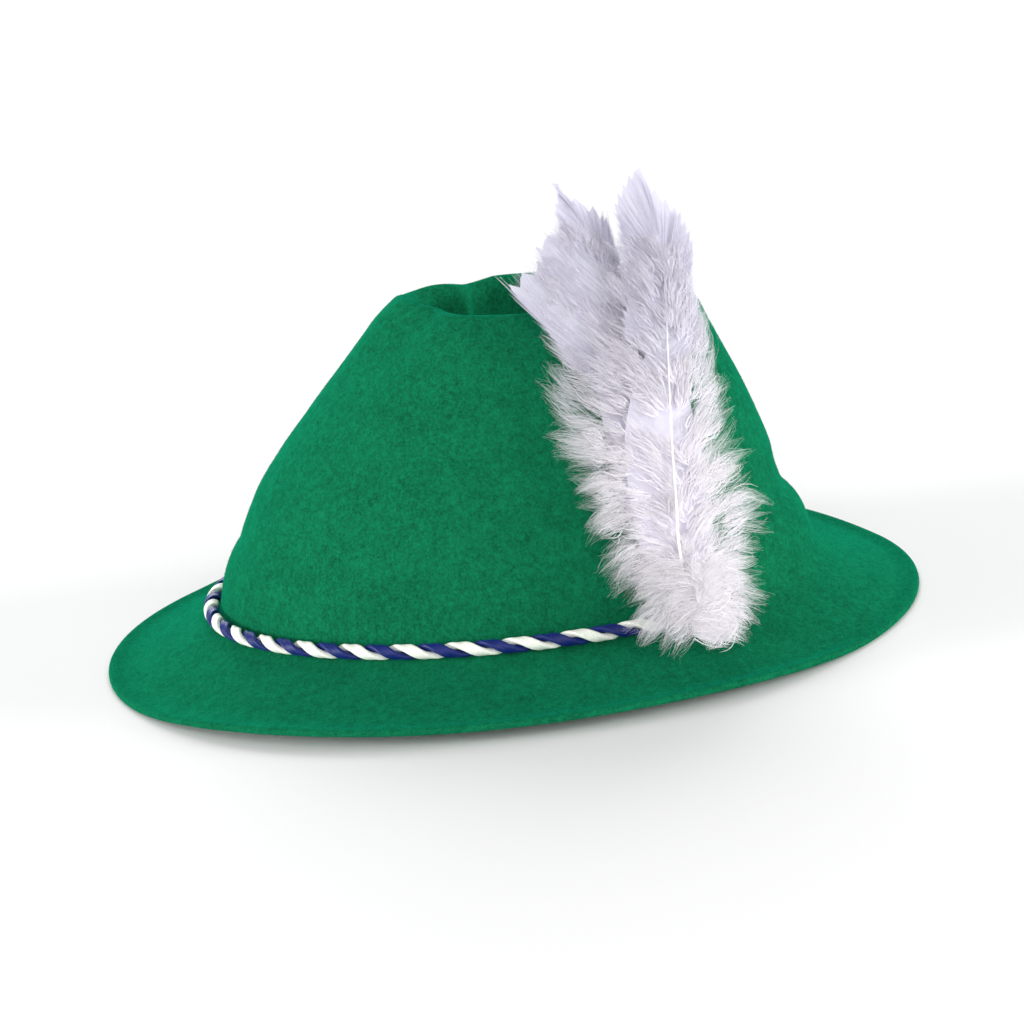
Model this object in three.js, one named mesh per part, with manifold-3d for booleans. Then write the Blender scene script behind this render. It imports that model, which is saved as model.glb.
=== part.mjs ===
import * as THREE from 'three';
import { mergeVertices } from 'three/addons/utils/BufferGeometryUtils.js';
import Module from 'manifold-3d';

// Tyrolean hat: a blocked felt body, a cord of two plies round the foot of the crown and a plume
// of three feathers on the wearer's left. Millimetres, +Z up. The front of the hat looks along -Y
// and the wearer's left side is +X. The brim rests on z = 0 with its middle over the origin.

const wasm = await Module();
wasm.setup();

// Sizes of the felt body
const headLength = 200;
const headWidth = 168;
const feltThickness = 2.2;
const crownHeight = 97;
const crownShift = 4;
const crestLength = 98;
const crestWidth = 75;
const crestSetback = 18;
const crestTilt = 7.5;
const crestDip = 1.6;
const crestRadius = 4.5;
const dentDepth = 22;
const dentFloorWidth = 9;
const pinchDepth = 6;
const pinchBulge = 9;
const rightBulge = 10.5;
const rightPocket = 11;
const brimLength = 276;
const brimWidth = 256;
const footHeight = 16.5;
const footDrop = 1.6;
const footRounding = 3.5;
const sideLift = 4.4;
const brimMargin = 6;
const edgeRounding = 0.8;

// Sizes of the cord and the plume
const cordDiameter = 4.8;
const cordPitch = 18.5;
const plyGap = 0.4;
const clearance = 0.3;
const plumeLean = 26;
const plumeTurn = 32;
const tallLength = 146;
const tallWidth = 50;
const tallThickness = 7;
const tallTilt = 12;
const tallOffset = 5;
const tallDrop = 2;
const shortLength = 135;
const shortWidth = 40;
const shortThickness = 5;
const shortTilt = 3;
const shortOffset = 7;
const shortRaise = 8;
const tuftLength = 42;
const tuftWidth = 38;
const tuftThickness = 7;
const tuftOffset = 3;
const tuftDrop = 13;
const lockWidth = 9;
const lockSpacing = 13;

// Angles round the hat run from the front, 0, over the wearer's left, 90, to the back, 180. The
// brim's edge starts to rise at the side where the angle's sine passes the value here.
const sideLiftSine = 0.45;
const plumeAngle = 127;
const cordStartAngle = 124;
const cordEndAngle = -140;
const cordAngleStep = 3;
const roundSteps = 48;

// Crown wall from foot to crest. Rise is a share of the crown's height, and the other columns say
// how far the wall stands out from the crest's outline towards the foot's outline.
const wallRows = [
  { rise: 0.0, front: 1.0, side: 1.0, back: 1.0 },
  { rise: 0.1, front: 0.963, side: 0.965, back: 0.93 },
  { rise: 0.185, front: 0.908, side: 0.925, back: 0.84 },
  { rise: 0.225, front: 0.87, side: 0.888, back: 0.75 },
  { rise: 0.4, front: 0.735, side: 0.715, back: 0.63 },
  { rise: 0.6, front: 0.505, side: 0.48, back: 0.465 },
  { rise: 0.79, front: 0.262, side: 0.255, back: 0.265 },
  { rise: 0.94, front: 0.062, side: 0.07, back: 0.1 },
];

// Shares of the crown's height at which the wall has a ring of points
const wallRises = [0.94, 0.865, 0.79, 0.7, 0.6, 0.5, 0.4, 0.31, 0.225, 0.185, 0.1];

// Roll over the crest, in degrees from straight outwards, over the top and down into the dent
const crestTurns = [38, 65, 90, 120, 150];

// Dent in the top from the roll down to the crease. Inset is a share of the way in from the roll,
// depth a share of the dent's depth. The floor reaches these shares of the crest's half lengths.
const dentFloorShares = { front: 0.25, back: 0.5 };
const dentRows = [
  { inset: 0.12, depth: 0.38 },
  { inset: 0.34, depth: 0.7 },
  { inset: 0.64, depth: 0.93 },
  { inset: 1.0, depth: 1.0 },
];

// Brim from foot to edge. Reach is a share of the way out, height a share of the drop to the edge.
const brimRows = [
  { reach: 0.0, height: 1.0 },
  { reach: 0.2, height: 0.69 },
  { reach: 0.45, height: 0.37 },
  { reach: 0.68, height: 0.12 },
  { reach: 1.0, height: 0.0 },
];

// The pinch on each side of the front, the bulge that it makes inside the dent, and the pocket in
// front of the bulge on the wearer's right. Place runs up the wall as a share of the crown's height
// and goes on past 1 over the crest and into the dent. Pull is the share of the way inwards by which
// the felt also goes down, and it sets in at a place of its own.
const pinchPlaces = { pull: 0.4, crest: 0.95, crestEachTurn: 0.4, dent: 1.12, dentSpan: 0.7 };
const pinchRows = [
  { inwards: pinchDepth, angle: 50, swing: 60, spread: 20, place: 1.0, reach: 0.25, pull: 0.25 },
  { inwards: pinchBulge, angle: 48, swing: -34, spread: 24, place: 1.45, reach: 0.25, pull: 0.25 },
  { inwards: pinchDepth, angle: -50, swing: -60, spread: 20, place: 1.0, reach: 0.25, pull: 0.2 },
  { inwards: rightBulge, angle: -42, swing: 55, spread: 15, place: 1.4, reach: 0.3, pull: 0 },
  { inwards: -rightPocket, angle: -20, swing: 0, spread: 17, place: 1.36, reach: 0.17, pull: 0 },
];

// Where the crest sags, in front of the right pinch and behind it
const sagRows = [
  { drop: 2.6, angle: -18, spread: 22 },
  { drop: 2.9, angle: -74, spread: 20 },
];

const radians = THREE.MathUtils.degToRad;
const mix = THREE.MathUtils.lerp;
const crestFront = crestLength / 2 - crestSetback;
const crestBack = crestLength / 2 + crestSetback;
const footHalfLength = headLength / 2 + feltThickness;
const footHalfWidth = headWidth / 2 + feltThickness;
const brimReach = (brimWidth - headWidth) / 2 - feltThickness;

// A smooth reading of a table's column between its rows
function readColumn(rows, key, value, column) {
  const last = rows.length - 1;
  let i = 0;
  while (i < last - 1 && value > rows[i + 1][key]) i += 1;
  const before = rows[Math.max(i - 1, 0)];
  const low = rows[i];
  const high = rows[i + 1];
  const after = rows[Math.min(i + 2, last)];
  const span = high[key] - low[key];
  const t = (value - low[key]) / span;
  const slopeLow = (high[column] - before[column]) / (high[key] - before[key]);
  const slopeHigh = (after[column] - low[column]) / (after[key] - low[key]);
  const a = 2 * t ** 3 - 3 * t ** 2 + 1;
  const b = t ** 3 - 2 * t ** 2 + t;
  const c = t ** 3 - t ** 2;
  return a * low[column] + (1 - a) * high[column] + span * (b * slopeLow + c * slopeHigh);
}

// A point of an oval with its own half lengths towards the front and the back
function oval(angle, halfWidth, halfFront, halfBack, middle, z) {
  const forward = Math.cos(angle);
  const half = forward > 0 ? halfFront : halfBack;
  return new THREE.Vector3(halfWidth * Math.sin(angle), middle - half * forward, z);
}

// Heights: the foot is lower towards the front and back, and the crest slopes down to the back
function footLevel(angle) {
  return footHeight - footDrop * Math.cos(angle) ** 2;
}

function crestLevel(y) {
  const share = (2 * (crownShift + crestSetback - y)) / crestLength;
  const dip = crestDip * Math.max(1 - share ** 2, 0);
  return footHeight + crownHeight + (crestTilt * share) / 2 - dip;
}

function edgeLevel(angle) {
  const aside = Math.abs(Math.sin(angle));
  return feltThickness + sideLift * THREE.MathUtils.smoothstep(aside, sideLiftSine, 1);
}

// The pinches press the felt in towards the middle of the crown, and the crest sags beside them
function pinched(point, angle, place) {
  const turned = THREE.MathUtils.radToDeg(Math.atan2(Math.sin(angle), Math.cos(angle)));
  let inwards = 0;
  let drop = 0;
  for (const row of pinchRows) {
    const middle = row.angle - row.swing * Math.max(row.place - place, 0);
    const aside = (turned - middle) / row.spread;
    const along = (place - row.place) / row.reach;
    const pressed = row.inwards * Math.exp(-(aside ** 2) - along ** 2);
    inwards += pressed;
    drop += row.pull * pressed;
  }
  for (const row of sagRows) {
    drop += row.drop * Math.exp(-(((turned - row.angle) / row.spread) ** 2));
  }
  point.x -= inwards * Math.sin(angle);
  point.y += inwards * Math.cos(angle);
  point.z -= drop * THREE.MathUtils.smoothstep(place, pinchPlaces.pull, 1);
  return point;
}

// Outer face of the crown wall at a share of its height
function wallPoint(angle, rise) {
  const front = mix(crestFront, footHalfLength, readColumn(wallRows, 'rise', rise, 'front'));
  const back = mix(crestBack, footHalfLength, readColumn(wallRows, 'rise', rise, 'back'));
  const side = mix(crestWidth / 2, footHalfWidth, readColumn(wallRows, 'rise', rise, 'side'));
  const top = crestLevel(oval(angle, 0, crestFront, crestBack, crownShift, 0).y);
  const z = mix(footLevel(angle), top, rise);
  return pinched(oval(angle, side, front, back, crownShift, z), angle, rise);
}

// Upper face of the brim at a share of its reach
function brimPoint(angle, reach) {
  const half = brimLength / 2;
  const foot = wallPoint(angle, 0);
  const edge = oval(angle, brimWidth / 2, half, half, 0, edgeLevel(angle));
  const point = foot.clone().lerp(edge, reach);
  point.z = mix(edge.z, foot.z, readColumn(brimRows, 'reach', reach, 'height'));
  return point;
}

// The rounded corner between wall and brim
function cornerPoint(angle) {
  const above = wallPoint(angle, footRounding / crownHeight);
  const beside = brimPoint(angle, footRounding / brimReach);
  return above.add(beside).addScaledVector(wallPoint(angle, 0), 2).divideScalar(4);
}

// The roll over the crest, drawn in by the radius as it turns
function crestPoint(angle, turn) {
  const inset = crestRadius * (1 - Math.cos(radians(turn)));
  const drop = crestRadius * (1 - Math.sin(radians(turn)));
  const side = crestWidth / 2 - inset;
  const point = oval(angle, side, crestFront - inset, crestBack - inset, crownShift, 0);
  point.z = crestLevel(point.y) - drop;
  return pinched(point, angle, pinchPlaces.crest + (pinchPlaces.crestEachTurn * turn) / 360);
}

// The dent from the inner foot of the roll to the crease along its floor
function dentPoint(angle, row) {
  const inset = 2 * crestRadius;
  const side = mix(crestWidth / 2 - inset, dentFloorWidth / 2, row.inset);
  const front = mix(crestFront - inset, dentFloorShares.front * crestFront, row.inset);
  const back = mix(crestBack - inset, dentFloorShares.back * crestBack, row.inset);
  const point = oval(angle, side, front, back, crownShift, 0);
  point.z = crestLevel(point.y) - mix(crestRadius / 2, dentDepth, row.depth);
  return pinched(point, angle, pinchPlaces.dent + pinchPlaces.dentSpan * row.inset);
}

// Felt body: the outer face ring by ring from the dent to the edge of the brim, the edge, and the
// inner face one felt thickness behind it. The brim's margin and its underside are flat and level
// at the front and the back, where the hat rests.
function feltBody() {
  const rings = [];
  const ring = (place) => {
    const points = [];
    for (let j = 0; j < roundSteps; j += 1) points.push(place((j * 2 * Math.PI) / roundSteps));
    rings.push(points);
  };
  for (const row of [...dentRows].reverse()) ring((angle) => dentPoint(angle, row));
  for (const turn of [...crestTurns].reverse()) ring((angle) => crestPoint(angle, turn));
  for (const rise of wallRises) ring((angle) => wallPoint(angle, rise));
  ring((angle) => wallPoint(angle, footRounding / crownHeight));
  ring(cornerPoint);
  ring((angle) => brimPoint(angle, footRounding / brimReach));
  for (const row of brimRows.slice(1, -1)) ring((angle) => brimPoint(angle, row.reach));
  const slopeRings = rings.length;
  const marginPoint = (angle, inset, z) => {
    const side = brimWidth / 2 - inset;
    const half = brimLength / 2 - inset;
    return oval(angle, side, half, half, 0, z);
  };
  ring((angle) => marginPoint(angle, brimMargin, edgeLevel(angle)));
  ring((angle) => marginPoint(angle, edgeRounding, edgeLevel(angle)));

  const inner = rings.map((points, i) => points.map((point, j) => {
    if (i >= slopeRings) return new THREE.Vector3(point.x, point.y, point.z - feltThickness);
    const ahead = points[(j + 1) % roundSteps];
    const behind = points[(j + roundSteps - 1) % roundSteps];
    const round = ahead.clone().sub(behind);
    const down = rings[i + 1][j].clone().sub(rings[Math.max(i - 1, 0)][j]);
    const normal = down.cross(round).normalize();
    return point.clone().addScaledVector(normal, -feltThickness);
  }));
  ring((angle) => marginPoint(angle, 0, edgeLevel(angle) - feltThickness / 2));
  rings.push(...inner.reverse());
  return skin(rings, true, false);
}

// A closed mesh over rings of points, with both ends filled by a fan from the ring's middle
function skin(rings, middleEnds, leanBack) {
  const count = rings[0].length;
  const points = rings.flat();
  const faces = [];
  for (let i = 0; i + 1 < rings.length; i += 1) {
    for (let j = 0; j < count; j += 1) {
      const next = (j + 1) % count;
      const a = i * count + j;
      const b = i * count + next;
      const c = (i + 1) * count + j;
      const d = (i + 1) * count + next;
      if (leanBack) faces.push(a, c, b, b, c, d);
      else faces.push(a, c, d, a, d, b);
    }
  }
  const lastStart = (rings.length - 1) * count;
  if (middleEnds) {
    for (const [start, flip] of [[0, false], [lastStart, true]]) {
      const middle = new THREE.Vector3();
      for (let j = 0; j < count; j += 1) middle.addScaledVector(points[start + j], 1 / count);
      points.push(middle);
      for (let j = 0; j < count; j += 1) {
        const here = start + j;
        const next = start + ((j + 1) % count);
        if (flip) faces.push(points.length - 1, next, here);
        else faces.push(points.length - 1, here, next);
      }
    }
  } else {
    for (let j = 1; j + 1 < count; j += 1) {
      faces.push(0, j, j + 1);
      faces.push(lastStart, lastStart + j + 1, lastStart + j);
    }
  }
  const geometry = new THREE.BufferGeometry().setFromPoints(points);
  geometry.setIndex(faces);
  geometry.computeVertexNormals();
  return geometry;
}

// Joins closed meshes into one solid
function fuse(pieces) {
  const solids = pieces.map((piece) => {
    const bare = piece.clone();
    bare.deleteAttribute('normal');
    const merged = mergeVertices(bare, 1e-4);
    const vertProperties = Float32Array.from(merged.attributes.position.array);
    const triVerts = Uint32Array.from(merged.index.array);
    return new wasm.Manifold(new wasm.Mesh({ numProp: 3, vertProperties, triVerts }));
  });
  const mesh = solids.reduce((whole, solid) => whole.add(solid)).getMesh();
  const geometry = new THREE.BufferGeometry();
  geometry.setAttribute('position', new THREE.BufferAttribute(mesh.vertProperties, 3));
  geometry.setIndex(new THREE.BufferAttribute(mesh.triVerts, 1));
  geometry.computeVertexNormals();
  return geometry;
}

// The cord lies in the corner of crown and brim, from under the plume round the front and the far
// side to an end at the back of the far side
const cordPoints = [];
const firstRise = wallRises.at(-1);
const firstReach = brimRows[1].reach;
for (let degrees = cordStartAngle; degrees >= cordEndAngle; degrees -= cordAngleStep) {
  const angle = radians(degrees);
  const corner = cornerPoint(angle);
  const up = wallPoint(angle, firstRise).sub(wallPoint(angle, 0)).normalize();
  const out = brimPoint(angle, firstReach).sub(brimPoint(angle, 0)).normalize();
  const off = up.add(out).normalize();
  cordPoints.push(corner.addScaledVector(off, cordDiameter / 2 + clearance));
}
const cordRoute = new THREE.CatmullRomCurve3(cordPoints);

// One ply: a five-sided section beside the cord's axis, turning once in each pitch. Out and across
// are shares of the way from the gap between the plies to the cord's radius, and of the radius.
const plySection = [
  { out: 0.0, across: -0.4 },
  { out: 0.0, across: 0.4 },
  { out: 0.56, across: 0.8 },
  { out: 1.0, across: 0.0 },
  { out: 0.56, across: -0.8 },
];
const plyStepsEachTurn = 8;

function cordPly(startTurn) {
  const radius = cordDiameter / 2;
  const section = plySection.map((row) => ({
    out: mix(plyGap / 2, radius, row.out),
    across: radius * row.across,
  }));
  const turns = cordRoute.getLength() / cordPitch;
  const steps = Math.round(turns * plyStepsEachTurn);
  const rings = [];
  for (let i = 0; i <= steps; i += 1) {
    const middle = cordRoute.getPointAt(i / steps);
    const forward = cordRoute.getTangentAt(i / steps);
    const side = new THREE.Vector3(0, 0, 1).cross(forward).normalize();
    const up = forward.clone().cross(side);
    const turn = 2 * Math.PI * (startTurn + (turns * i) / steps);
    const out = side.clone().multiplyScalar(Math.cos(turn)).addScaledVector(up, Math.sin(turn));
    const across = forward.clone().cross(out);
    rings.push(section.map((corner) => middle.clone()
      .addScaledVector(out, corner.out)
      .addScaledVector(across, corner.across)));
  }
  return skin(rings, false, true);
}

// Feather outlines from quill to tip. Along is a share of the feather's length, the other columns
// are shares of its width: how far the spine has bent, and the down to the left and to the right.
const tallRows = [
  { along: 0.0, bend: 0.0, left: 0.16, right: 0.2 },
  { along: 0.05, bend: -0.04, left: 0.38, right: 0.42 },
  { along: 0.14, bend: -0.07, left: 0.5, right: 0.62 },
  { along: 0.26, bend: -0.05, left: 0.6, right: 0.64 },
  { along: 0.42, bend: -0.02, left: 0.66, right: 0.5 },
  { along: 0.6, bend: 0.04, left: 0.52, right: 0.38 },
  { along: 0.75, bend: 0.09, left: 0.36, right: 0.22 },
  { along: 0.88, bend: 0.08, left: 0.3, right: 0.18 },
  { along: 1.0, bend: 0.0, left: 0.08, right: 0.05 },
];
const shortRows = [
  { along: 0.0, bend: 0.0, left: 0.12, right: 0.1 },
  { along: 0.1, bend: 0.05, left: 0.42, right: 0.25 },
  { along: 0.3, bend: 0.12, left: 0.58, right: 0.3 },
  { along: 0.5, bend: 0.19, left: 0.68, right: 0.3 },
  { along: 0.68, bend: 0.23, left: 0.6, right: 0.26 },
  { along: 0.85, bend: 0.18, left: 0.52, right: 0.2 },
  { along: 1.0, bend: 0.0, left: 0.08, right: 0.06 },
];
const tuftRows = [
  { along: 0.0, bend: 0.0, left: 0.28, right: 0.26 },
  { along: 0.2, bend: 0.0, left: 0.5, right: 0.46 },
  { along: 0.5, bend: 0.02, left: 0.48, right: 0.42 },
  { along: 0.8, bend: 0.04, left: 0.3, right: 0.28 },
  { along: 1.0, bend: 0.05, left: 0.08, right: 0.08 },
];

// Shares that shape the backing and the locks: how much of the outline the backing fills, where a
// lock's root, belly and tip lie on the way out, how far it sweeps up, how thick it is, and which
// stretch of the feather has locks. The locks on the two sides are staggered.
const backingShare = 0.82;
const lockShares = { root: 0.5, tip: 1.1, sweep: 0.5, depth: 0.3, start: 0.04, end: 0.9 };
const lockStagger = { left: 0.25, right: 0.75 };
const lockSections = [
  { way: 0.0, size: 0.6 },
  { way: 0.6, size: 1.0 },
  { way: 1.0, size: 0.1 },
];

// One feather, flat in its own plane with the quill end at the origin: a lens-shaped backing with
// pointed locks of down fused along both sides
function feather(rows, length, width, thickness) {
  const locks = Math.round(length / lockSpacing);
  const half = thickness / 2;
  const backing = skin(rows.map((row) => {
    const y = row.along * length;
    const spine = row.bend * width;
    const left = backingShare * row.left * width;
    const right = backingShare * row.right * width;
    return [
      new THREE.Vector3(spine - left, y, half),
      new THREE.Vector3(spine - left / 2, y, 0),
      new THREE.Vector3(spine + right / 2, y, 0),
      new THREE.Vector3(spine + right, y, half),
      new THREE.Vector3(spine + right / 2, y, thickness),
      new THREE.Vector3(spine - left / 2, y, thickness),
    ];
  }), false, false);
  const pieces = [backing];
  for (let i = 0; i < locks; i += 1) {
    for (const [side, column] of [[-1, 'left'], [1, 'right']]) {
      const along = mix(lockShares.start, lockShares.end, (i + lockStagger[column]) / locks);
      const spine = readColumn(rows, 'along', along, 'bend') * width;
      const reach = width * readColumn(rows, 'along', along, column);
      const y = along * length;
      const root = new THREE.Vector3(spine + side * lockShares.root * reach, y, half);
      const tip = new THREE.Vector3(spine + side * lockShares.tip * reach, y, half);
      tip.y += lockShares.sweep * reach;
      const way = tip.clone().sub(root).normalize();
      const across = new THREE.Vector3(-way.y, way.x, 0);
      pieces.push(skin(lockSections.map((row) => {
        const middle = root.clone().lerp(tip, row.way);
        const wide = (row.size * lockWidth) / 2;
        const deep = row.size * lockShares.depth * thickness;
        return [
          middle.clone().addScaledVector(across, -wide),
          middle.clone().add(new THREE.Vector3(0, 0, deep)),
          middle.clone().addScaledVector(across, wide),
          middle.clone().add(new THREE.Vector3(0, 0, -deep)),
        ];
      }), false, false));
    }
  }
  return fuse(pieces);
}

// Materials
function finish(color, roughness) {
  return new THREE.MeshStandardMaterial({ color, roughness, metalness: 0 });
}

function named(name, geometry, material) {
  const mesh = new THREE.Mesh(geometry, material);
  mesh.name = name;
  return mesh;
}

const hat = new THREE.Group();
hat.add(named('felt_body', feltBody(), finish(0x0f7f52, 0.95)));
hat.add(named('cord_ply_navy', cordPly(0), finish(0x1c2a6b, 0.75)));
hat.add(named('cord_ply_white', cordPly(0.5), finish(0xe9ece2, 0.8)));

// The plume stands in a plane that leans against the crown at the wearer's left, clear of the wall
// by the clearance at the nearest point and clear of the cord
const lean = radians(plumeLean);
const turn = radians(plumeTurn);
const plumeFacing = new THREE.Vector3(Math.cos(turn), Math.sin(turn), 0).multiplyScalar(Math.cos(lean));
const plumeOut = plumeFacing.setZ(Math.sin(lean));
const plumeSide = new THREE.Vector3(-Math.sin(turn), Math.cos(turn), 0);
const plumeUp = plumeOut.clone().cross(plumeSide);
const plumeFoot = cornerPoint(radians(plumeAngle));
const nearbyDegrees = { before: 40, after: 50, step: 2 };
const nearbyRises = { from: 0.03, to: 0.95, step: 0.02 };
let nearest = 0;
for (let rise = nearbyRises.from; rise < nearbyRises.to; rise += nearbyRises.step) {
  const end = plumeAngle + nearbyDegrees.after;
  for (let degrees = plumeAngle - nearbyDegrees.before; degrees < end; degrees += nearbyDegrees.step) {
    const reach = wallPoint(radians(degrees), rise).sub(plumeFoot).dot(plumeOut);
    nearest = Math.max(nearest, reach);
  }
}
const plume = new THREE.Group();
plume.position.copy(plumeFoot).addScaledVector(plumeOut, nearest + clearance);
plume.quaternion.setFromRotationMatrix(new THREE.Matrix4().makeBasis(plumeSide, plumeUp, plumeOut));

const tallShape = feather(tallRows, tallLength, tallWidth, tallThickness);
const shortShape = feather(shortRows, shortLength, shortWidth, shortThickness);
const tuftShape = feather(tuftRows, tuftLength, tuftWidth, tuftThickness);
const tallFeather = named('tall_feather', tallShape, finish(0xd9d6e2, 0.9));
const shortFeather = named('short_feather', shortShape, finish(0xcbc9d8, 0.9));
const tuftFeather = named('tuft_feather', tuftShape, finish(0xe2e0ea, 0.9));
shortFeather.position.set(-shortOffset, shortRaise, 0);
shortFeather.rotation.z = -radians(shortTilt);
tallFeather.position.set(-tallOffset, -tallDrop, shortThickness + clearance);
tallFeather.rotation.z = -radians(tallTilt);
tuftFeather.position.set(-tuftOffset, -tuftDrop, shortThickness + tallThickness + 2 * clearance);
plume.add(shortFeather, tallFeather, tuftFeather);
hat.add(plume);

export default hat;
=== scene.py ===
import bpy
import numpy as np
from mathutils import Matrix


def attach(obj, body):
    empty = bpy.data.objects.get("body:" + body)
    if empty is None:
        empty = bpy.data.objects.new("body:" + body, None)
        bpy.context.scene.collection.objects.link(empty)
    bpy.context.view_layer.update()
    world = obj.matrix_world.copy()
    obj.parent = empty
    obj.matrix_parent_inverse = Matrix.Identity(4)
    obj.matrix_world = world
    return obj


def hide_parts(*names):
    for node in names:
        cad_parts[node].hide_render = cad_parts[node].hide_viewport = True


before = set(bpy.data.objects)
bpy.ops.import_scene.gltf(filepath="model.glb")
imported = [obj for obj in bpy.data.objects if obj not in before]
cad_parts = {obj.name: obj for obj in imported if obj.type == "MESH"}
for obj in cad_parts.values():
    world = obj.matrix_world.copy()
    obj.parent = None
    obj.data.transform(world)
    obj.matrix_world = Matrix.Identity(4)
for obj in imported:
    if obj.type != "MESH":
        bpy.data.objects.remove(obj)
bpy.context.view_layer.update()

# Felt body: crown and brim blocked from one felt hood of dyed wool, with a dent pressed into the
# top and a pinch on each side of the front. The brim's edge is cut and left raw, and the hat
# stands on the front and the back of its brim.
MILLIMETRE = 0.001
HEAD_LENGTH = 200
HEAD_WIDTH = 168
FELT_THICKNESS = 2.2
CROWN_HEIGHT = 97
CROWN_SHIFT = 4
CREST_LENGTH = 98
CREST_WIDTH = 75
CREST_SETBACK = 18
CREST_TILT = 7.5
CREST_DIP = 1.6
CREST_RADIUS = 4.5
CREST_TURNS = [38, 65, 90, 120, 150]
DENT_DEPTH = 22
DENT_FLOOR_WIDTH = 9
DENT_FLOOR_FRONT = 0.25
DENT_FLOOR_BACK = 0.5
CLOSING_SHARES = [0.02, 0.35, 0.7]
PINCH_DEPTH = 6
PINCH_BULGE = 9
RIGHT_BULGE = 10.5
RIGHT_POCKET = 11
BRIM_LENGTH = 276
BRIM_WIDTH = 256
BRIM_MARGIN = 6
EDGE_ROUNDING = 0.8
EDGE_TURNS = [60, 30, 0, -30, -60]
FOOT_HEIGHT = 16.5
FOOT_DROP = 1.6
FOOT_ROUNDING = 3.5
SIDE_LIFT = 4.4
SIDE_LIFT_SINE = 0.45
FELT_COLUMNS = 240
FELT_REFINING = 4

# The crease above the ledge: how high up the wall it runs, its depth and its spread in fine rings
LEDGE_RISE = 0.225
LEDGE_GROOVE = 0.6
LEDGE_SPREAD = 1.1

# Small unevenness of the blocked felt, in millimetres, which fades out towards the brim's edge
UNEVENNESS = [{"amount": 0.14, "length": 60, "seed": 3}, {"amount": 0.05, "length": 12, "seed": 5}]
UNEVENNESS_FADE = 12
WAVE_COUNT = 6
WAVE_STRETCH = (0.7, 1.4)

# How far the wall stands out from the crest's outline towards the foot's, by share of its height
WALL_ROWS = [
    {"rise": 0.0, "front": 1.0, "side": 1.0, "back": 1.0},
    {"rise": 0.1, "front": 0.963, "side": 0.965, "back": 0.93},
    {"rise": 0.185, "front": 0.908, "side": 0.925, "back": 0.84},
    {"rise": 0.225, "front": 0.87, "side": 0.888, "back": 0.75},
    {"rise": 0.4, "front": 0.735, "side": 0.715, "back": 0.63},
    {"rise": 0.6, "front": 0.505, "side": 0.48, "back": 0.465},
    {"rise": 0.79, "front": 0.262, "side": 0.255, "back": 0.265},
    {"rise": 0.94, "front": 0.062, "side": 0.07, "back": 0.1},
]
WALL_RISES = [0.94, 0.865, 0.79, 0.7, 0.6, 0.5, 0.4, 0.31, 0.225, 0.185, 0.1]

# The dent from its rim to its floor, and the brim from the crown's foot to its edge, in shares
DENT_ROWS = [
    {"inset": 0.12, "depth": 0.38},
    {"inset": 0.34, "depth": 0.7},
    {"inset": 0.64, "depth": 0.93},
    {"inset": 1.0, "depth": 1.0},
]
BRIM_ROWS = [
    {"reach": 0.0, "height": 1.0},
    {"reach": 0.2, "height": 0.69},
    {"reach": 0.45, "height": 0.37},
    {"reach": 0.68, "height": 0.12},
    {"reach": 1.0, "height": 0.0},
]

# The pinches, the bulges that they make in the dent, and the pocket before the bulge on the wearer's
# right. Place runs up the wall as a share of its height and on past 1 over the crest into the dent.
PINCH_ROWS = [
    {"inwards": PINCH_DEPTH, "angle": 50, "swing": 60, "spread": 20,
     "place": 1.0, "reach": 0.25, "pull": 0.25},
    {"inwards": PINCH_BULGE, "angle": 48, "swing": -34, "spread": 24,
     "place": 1.45, "reach": 0.25, "pull": 0.25},
    {"inwards": PINCH_DEPTH, "angle": -50, "swing": -60, "spread": 20,
     "place": 1.0, "reach": 0.25, "pull": 0.2},
    {"inwards": RIGHT_BULGE, "angle": -42, "swing": 55, "spread": 15,
     "place": 1.4, "reach": 0.3, "pull": 0},
    {"inwards": -RIGHT_POCKET, "angle": -20, "swing": 0, "spread": 17,
     "place": 1.36, "reach": 0.17, "pull": 0},
]
PINCH_PLACES = {"pull": 0.4, "crest": 0.95, "crest_degrees": 900, "dent": 1.12, "dent_span": 0.7}

# Where the crest sags, before the right pinch and behind it
SAG_ROWS = [
    {"drop": 2.6, "angle": -18, "spread": 22},
    {"drop": 2.9, "angle": -74, "spread": 20},
]

crest_front = CREST_LENGTH / 2 - CREST_SETBACK
crest_back = CREST_LENGTH / 2 + CREST_SETBACK
foot_half_length = HEAD_LENGTH / 2 + FELT_THICKNESS
foot_half_width = HEAD_WIDTH / 2 + FELT_THICKNESS
brim_reach = (BRIM_WIDTH - HEAD_WIDTH) / 2 - FELT_THICKNESS


def mix(low, high, share):
    return low + (high - low) * share


def smooth_step(value, low, high):
    share = np.clip((value - low) / (high - low), 0, 1)
    return share * share * (3 - 2 * share)


def unit(vectors):
    return vectors / np.linalg.norm(vectors, axis=-1, keepdims=True)


def hermite(places, values, wanted):
    """A smooth curve through values at rising places, read at the wanted places"""
    steps = np.diff(places).reshape((-1,) + (1,) * (values.ndim - 1))
    slopes = np.diff(values, axis=0) / steps
    middle = (slopes[1:] * steps[:-1] + slopes[:-1] * steps[1:]) / (steps[1:] + steps[:-1])
    tangents = np.concatenate([slopes[:1], middle, slopes[-1:]])
    span = np.clip(np.searchsorted(places, wanted, side="right") - 1, 0, len(places) - 2)
    width = places[span + 1] - places[span]
    t = (wanted - places[span]) / width
    shape = t.shape + (1,) * (values.ndim - 1)
    t = t.reshape(shape)
    width = width.reshape(shape)
    low = (2 * t**3 - 3 * t**2 + 1) * values[span] + (t**3 - 2 * t**2 + t) * width * tangents[span]
    high = (3 * t**2 - 2 * t**3) * values[span + 1] + (t**3 - t**2) * width * tangents[span + 1]
    return low + high


def read_column(rows, key, wanted, column):
    places = np.array([row[key] for row in rows])
    values = np.array([row[column] for row in rows])
    return hermite(places, values, np.asarray(wanted, float))


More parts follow.
